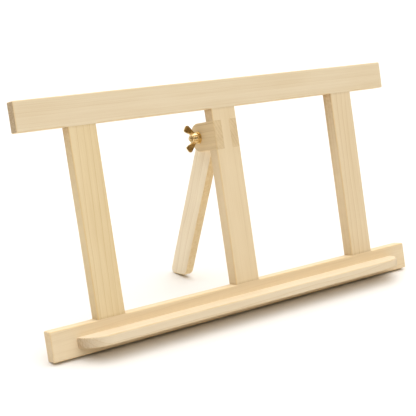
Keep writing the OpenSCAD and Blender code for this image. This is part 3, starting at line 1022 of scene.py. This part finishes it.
class EASEL_OT_add_bolt(bpy.types.Operator):
    """Carriage bolt: domed head, square neck, threaded shank"""
    bl_idname = "easel.add_bolt"
    bl_label = "Pivot bolt"

    def execute(self, context):
        parts = context.scene.easel_hardware
        low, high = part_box("pivot_bolt")
        axes = Axes((0, PIVOT_BACK, PIVOT_UP), (1, 0, 0), (0, 0, 1))
        head_face = high.x - parts.head_high
        neck_end = head_face - parts.neck
        gap = 0.05 * MM
        lip_r, under_step = 0.5 * MM, 1.2 * MM
        dome = (parts.head**2 + parts.head_high**2) / (2 * parts.head_high)
        a = np.linspace(0.02, 0.93, 14) * math.asin(parts.head / dome)
        cap = np.column_stack([high.x - dome * (1 - np.cos(a)), dome * np.sin(a)])
        b = np.linspace(0.25, 1.5, 7) * math.pi / 2
        lip = np.column_stack([head_face + lip_r * (1 + np.cos(b)), parts.head - lip_r + lip_r * np.sin(b)])
        under = np.array([[head_face, parts.head - under_step], [head_face, parts.bolt * 1.45],
                          [head_face, parts.bolt * 1.42]])
        neck_x = np.linspace(head_face - gap, neck_end, 8)
        shank_x = np.append(np.arange(neck_end - gap, low.x, -parts.pitch / 12), low.x)
        stem_x = np.concatenate([neck_x, shank_x])
        stem = np.column_stack([stem_x, np.full(len(stem_x), parts.bolt)])
        profile = np.concatenate([cap, lip, under, stem])
        in_neck = (profile[:, 0] < head_face) & (profile[:, 0] >= neck_end)
        thread_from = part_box("left_cheek")[1].x
        thread_deep, thread_fade, bevel = 0.5 * MM, 2 * MM, 1.3 * MM

        def reach(x, angle, radius):
            """The neck's radius is r / (cos^6 + sin^6)^(1/6), a square with round corners. The thread's is
            r - depth times its wave. The tip's bevel is r (1 + sqrt(e (2 - e))) / 2, e from 0 to 1."""
            square = radius / (np.cos(angle) ** 6 + np.sin(angle) ** 6) ** (1 / 6)
            groove = smooth(1.25 * thread_wave(x, angle, parts.pitch) - 0.1)
            depth = thread_deep * groove * smooth((thread_from - x) / thread_fade)
            end = np.clip((x - low.x) / bevel, 0, 1)
            tip = parts.bolt * (0.5 + 0.5 * np.sqrt(end * (2 - end)))
            threaded = np.minimum(radius - depth * smooth(end), tip)
            on_shank = (x < neck_end) & (radius >= parts.bolt * 0.99)
            return np.where(in_neck[:, None], square, np.where(on_shank, threaded, radius))

        rings = lathe(profile, 72, reach)
        worn = np.where(profile[:, 0] > head_face, 0.4, 0.1)
        worn = np.broadcast_to(worn[:, None], rings.shape[:2])
        material = metal("Bolt brass", axes, parts.bright, parts.tarnish, 0.6, 4)
        build("pivot_bolt_turned", [loft(axes.place(rings))], material, "frame", "pivot_bolt", "brass",
              sharp=50, eased=[worn.ravel()])
        return {"FINISHED"}


class EASEL_OT_add_washer(bpy.types.Operator):
    """Washer under the wing nut"""
    bl_idname = "easel.add_washer"
    bl_label = "Washer"

    def execute(self, context):
        parts = context.scene.easel_hardware
        bore = context.scene.easel_sizes.bore
        low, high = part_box("washer")
        outside = (high.z - low.z) / 2
        axes = Axes((middle_x("washer"), PIVOT_BACK, PIVOT_UP), (0, 1, 0), (0, 0, 1))
        sides, soft = 96, 0.35 * MM
        a = np.linspace(0, TURN, sides, endpoint=False)
        outward = np.column_stack([np.cos(a), np.sin(a)])
        edge = (soft * outward, np.full(sides, soft))
        rings, eased, _ = plate(outside * outward, width_x("washer") / 2, edge, edge, bore)
        eased = np.broadcast_to(eased, rings.shape[:2])
        material = metal("Washer brass", axes, parts.ring, parts.tarnish, 0.25, 6)
        build("washer_ring", [loft(axes.place(rings), True)], material, "clamp_washer", "washer", "brass",
              eased=[eased.ravel()])
        return {"FINISHED"}


def soft_min(a, b, k):
    """The smaller of two distances, rounded where they meet: min - h^2 k / 4, h = 1 - |a - b| / k."""
    h = np.maximum(1 - np.abs(a - b) / k, 0)
    return np.minimum(a, b) - h * h * k / 4


def strut(x, y, first, second):
    """Distance to the outline drawn round two circles (x, y, radius) by their common tangents. With the point
    measured across and along the line of centres, s = (ra - rb) / length and c = sqrt(1 - s^2), it is
    across c + along s - ra between the tangent points, and the distance to a circle beyond them."""
    (ax, ay, ra), (bx, by, rb) = first, second
    long = math.hypot(bx - ax, by - ay)
    along = ((x - ax) * (bx - ax) + (y - ay) * (by - ay)) / long
    across = np.abs((x - ax) * (by - ay) - (y - ay) * (bx - ax)) / long
    s = (ra - rb) / long
    c = math.sqrt(1 - s * s)
    k = along * c - across * s
    straight = across * c + along * s - ra
    near = np.hypot(across, along) - ra
    beyond = np.hypot(across, along - long) - rb
    return np.where(k < 0, near, np.where(k > c * long, beyond, straight))


class EASEL_OT_add_wing_nut(bpy.types.Operator):
    """Wing nut: a tapered hub with two splayed wings, cast as one"""
    bl_idname = "easel.add_wing_nut"
    bl_label = "Wing nut"

    def execute(self, context):
        """All numbers here are in millimetres. Three circles (out, up, radius) outline each wing."""
        parts = context.scene.easel_hardware
        low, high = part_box("wing_nut")
        axes = Axes((high.x, PIVOT_BACK, PIVOT_UP), (-1, 0, 0), (0, 0, 1))
        out_far = (high.x - low.x) / MM
        span = (high.z - low.z) / MM * LEAN_COS
        tip = (12.0, 12.4, 3.4)
        heel = (out_far - 2.2, tip[1] - 2.2, 2.2)
        root = (4.4, 4.2, 2.1)
        hub_long, hub_base, hub_end = parts.hub_long / MM, parts.hub_base / MM, parts.hub_end / MM
        half_wing, bore = parts.wing_thick / MM / 2, parts.bolt / MM + 0.06
        rim, countersink = 0.75, 0.7

        def distance(x, y, z):
            """Distance to the nut's skin: x out from the washer, y up the wings, z across them. The hub is a
            cone with a groove under its collar, and the wings are plates with round rims, thinner outwards.
            All meet in small fillets."""
            away = np.hypot(y, z)
            cone = hub_base + (hub_end - hub_base) * smooth(x / hub_long * 1.1)
            cone = cone - 0.3 * np.exp(-((x - hub_long + 1.8) / 0.35) ** 2)
            hub = -soft_min(cone - away, -np.maximum(-x, x - hub_long), 0.9)
            up = np.abs(y)
            flat = np.minimum(strut(x, up, root, tip), strut(x, up, tip, heel))
            flat = np.minimum(flat, strut(x, up, root, heel))
            thick = half_wing - 0.25 * smooth((up - 6) / 9) - np.abs(z)
            u, v = flat + rim, rim - thick
            wing = np.hypot(np.maximum(u, 0), np.maximum(v, 0)) + np.minimum(np.maximum(u, v), 0) - rim
            whole = soft_min(hub, wing, 0.7)
            hole = bore + countersink * smooth((x - hub_long + 0.8) / 0.8) - away
            return -soft_min(-whole, -hole, 0.3)

        far, side, step = span / 2 + 2, hub_base + 0.8, 0.21
        points, faces = net(distance, (-0.5, -far, -side), (out_far + 0.7, far, side), step)
        points[:, 0] = np.maximum(points[:, 0], 0)
        away = np.hypot(points[:, 1], points[:, 2])
        # Bright where worn: the hub and the wings' rims. This is partly wear and partly painted light: bright hub
        # and rims for highlights, dark tarnish on the wing faces for their shade
        on_rim = smooth((rim - np.abs(points[:, 2])) / 0.3) * smooth((away - 6.5) / 1.5)
        worn = np.maximum(0.85 * smooth((7.2 - away) / 0.8), on_rim)
        material = metal("Wing nut brass", axes, parts.bright, parts.tarnish, 0.9, 9)
        build("wing_nut_cast", [(axes.place(points * MM), faces)], material, "clamp_nut", "wing_nut",
              "brass", sharp=60, eased=[worn])
        return {"FINISHED"}


class EASEL_OT_add_screws(bpy.types.Operator):
    """Countersunk screws that hold the ledge from behind"""
    bl_idname = "easel.add_screws"
    bl_label = "Ledge screws"

    def execute(self, context):
        parts = context.scene.easel_hardware
        low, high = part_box("ledge_screws")
        up = float(LEDGE_POINT @ UP) - context.scene.easel_sizes.ledge_thick / 2
        head, shank, long = parts.screw_head, parts.screw, parts.screw_long
        cone_long = head - shank
        plain, tip = cone_long + 6 * MM, long - 3.5 * MM
        pitch, thread_deep, thread_step = 1.4 * MM, 0.45 * MM, 0.14 * MM
        face_rings = 26
        across = np.linspace(0.03, 0.97, face_rings) * head
        face = np.column_stack([np.zeros(face_rings), across])
        body = np.array([[0.1 * MM, head], [cone_long, shank], [cone_long + 0.2 * MM, shank]])
        thread_x = np.arange(plain, tip, thread_step)
        thread = np.column_stack([thread_x, np.full(len(thread_x), shank)])
        point = np.array([[tip, shank * 0.8], [long - 1.5 * MM, shank * 0.45], [long, shank * 0.1]])
        profile = np.concatenate([face, body, thread, point])

        def reach(x, angle, radius):
            """The thread's radius is r - depth times its wave."""
            groove = thread_deep * smooth(thread_wave(x, angle, pitch))
            return radius - groove * (x > plain) * (x < tip)

        rings = lathe(profile, 40, reach)
        arm = np.minimum(np.abs(rings[..., 1]), np.abs(rings[..., 2])) / MM
        away = np.hypot(rings[..., 1], rings[..., 2]) / MM
        recess = 1.3 * smooth((0.55 - arm) / 0.25) * smooth((2.1 - away) / 0.5)
        rings[:face_rings, :, 0] += recess[:face_rings] * MM
        worn = np.clip(away / 3, 0, 0.6).ravel()
        places = np.linspace(low.x + head, high.x - head, parts.screws)
        shells = [loft(Axes((x, BOARD_T, up), (0, -1, 0), (0, 0, 1)).place(rings)) for x in places]
        axes = Axes((0, BOARD_T, up), (0, -1, 0), (0, 0, 1))
        material = metal("Zinc plating", axes, parts.zinc, parts.zinc_dull, 0.4, 12)
        build("ledge_screws_turned", shells, material, "frame", "ledge_screws", "zinc_steel", sharp=40,
              eased=[worn] * len(shells))
        return {"FINISHED"}


# ------------------------------------------------------------------ studio


class EASEL_OT_set_stage(bpy.types.Operator):
    """Floor, soft light and camera"""
    bl_idname = "easel.set_stage"
    bl_label = "Studio"

    def execute(self, context):
        studio = context.scene.easel_studio
        scene = context.scene
        side = studio.floor_side / 2
        corners = [(-side, -side, 0), (side, -side, 0), (side, side, 0), (-side, side, 0)]
        mesh = bpy.data.meshes.new("studio_floor")
        mesh.from_pydata(corners, [], [(0, 1, 2, 3)])
        floor = bpy.data.objects.new("studio_floor", mesh)
        scene.collection.objects.link(floor)
        material, tree = new_material("Floor paper", studio.floor)
        point = put(tree, "ShaderNodeTexCoord").outputs["Object"]
        tooth = stretched_noise(tree, point, PAPER_TOOTH, 1.0)
        pale = tuple(min(c * 1.01, 1.0) for c in studio.floor)
        paper = blend_colours(tree, tooth, rgba(studio.floor), rgba(pale))
        rough = plus(tree, times(tree, tooth, 0.1), 0.6)
        close_material(tree, paper, rough, tooth, 0.01 * MM, **{"Specular IOR Level": 0.12})
        mesh.materials.append(material)

        lamp = bpy.data.lights.new("top_light", "SUN")
        lamp.energy = studio.above
        lamp.angle = studio.above_wide
        sun = bpy.data.objects.new("top_light", lamp)
        sun.rotation_euler = studio.above_turn
        scene.collection.objects.link(sun)

        world = bpy.data.worlds.new("studio_dome")
        scene.world = world
        world.use_nodes = True
        tree = world.node_tree
        tree.nodes.clear()
        white = put(tree, "ShaderNodeBackground", {"Color": rgba((1, 1, 1)), "Strength": 1.1})
        way = put(tree, "ShaderNodeTexCoord").outputs["Generated"]
        behind = put(tree, "ShaderNodeSeparateXYZ", {0: way}).outputs[1]
        path = put(tree, "ShaderNodeLightPath").outputs
        bright = plus(tree, times(tree, path["Is Glossy Ray"], studio.sheen), studio.dome + studio.back)
        strength = between(tree, behind, -0.3, 0.6, studio.dome, bright)
        soft = put(tree, "ShaderNodeBackground", {"Color": rgba((1, 1, 1)), "Strength": strength})
        seen = path["Is Camera Ray"]
        sky = put(tree, "ShaderNodeMixShader", {0: seen, 1: soft.outputs[0], 2: white.outputs[0]})
        put(tree, "ShaderNodeOutputWorld", {"Surface": sky.outputs[0]})
        scene.view_settings.view_transform = "Standard"

        lens = bpy.data.cameras.new("studio_camera")
        lens.lens = studio.lens
        lens.sensor_width = 36.0
        lens.clip_start = 0.01
        camera = bpy.data.objects.new("studio_camera", lens)
        camera.location = studio.camera_at
        camera.rotation_euler = Euler(studio.camera_turn, "XYZ")
        scene.collection.objects.link(camera)
        scene.camera = camera
        return {"FINISHED"}


# ------------------------------------------------------------------ panel and start

GROUPS = {"easel_sizes": EaselSizes, "easel_hardware": EaselHardware, "easel_wood": EaselWood,
          "easel_studio": EaselStudio}
OPERATORS = (EASEL_OT_add_rails, EASEL_OT_add_stiles, EASEL_OT_add_ledge, EASEL_OT_add_cheeks,
             EASEL_OT_add_leg, EASEL_OT_finish_dowels, EASEL_OT_add_bolt, EASEL_OT_add_washer,
             EASEL_OT_add_wing_nut, EASEL_OT_add_screws, EASEL_OT_set_stage)


class EASEL_PT_panel(bpy.types.Panel):
    """Sizes, colours and pieces of the easel"""
    bl_idname = "EASEL_PT_panel"
    bl_label = "Wooden table easel"
    bl_space_type = "VIEW_3D"
    bl_region_type = "UI"
    bl_category = "Easel"

    def draw(self, context):
        for attribute, group in GROUPS.items():
            box = self.layout.box()
            box.label(text=attribute.split("_")[1].capitalize())
            for prop in group.__annotations__:
                box.prop(getattr(context.scene, attribute), prop)
        for operator in OPERATORS:
            self.layout.operator(operator.bl_idname)


def register():
    """Registers the property groups, operators and panel."""
    for attribute, group in GROUPS.items():
        bpy.utils.register_class(group)
        setattr(bpy.types.Scene, attribute, bpy.props.PointerProperty(type=group))
    for cls in (*OPERATORS, EASEL_PT_panel):
        bpy.utils.register_class(cls)


def unregister():
    """Takes back what register did."""
    for cls in (EASEL_PT_panel, *reversed(OPERATORS)):
        bpy.utils.unregister_class(cls)
    for attribute, group in reversed(GROUPS.items()):
        delattr(bpy.types.Scene, attribute)
        bpy.utils.unregister_class(group)


def main():
    register()
    for operator in OPERATORS:
        category, action = operator.bl_idname.split(".")
        getattr(getattr(bpy.ops, category), action)()


if __name__ == "__main__":
    main()
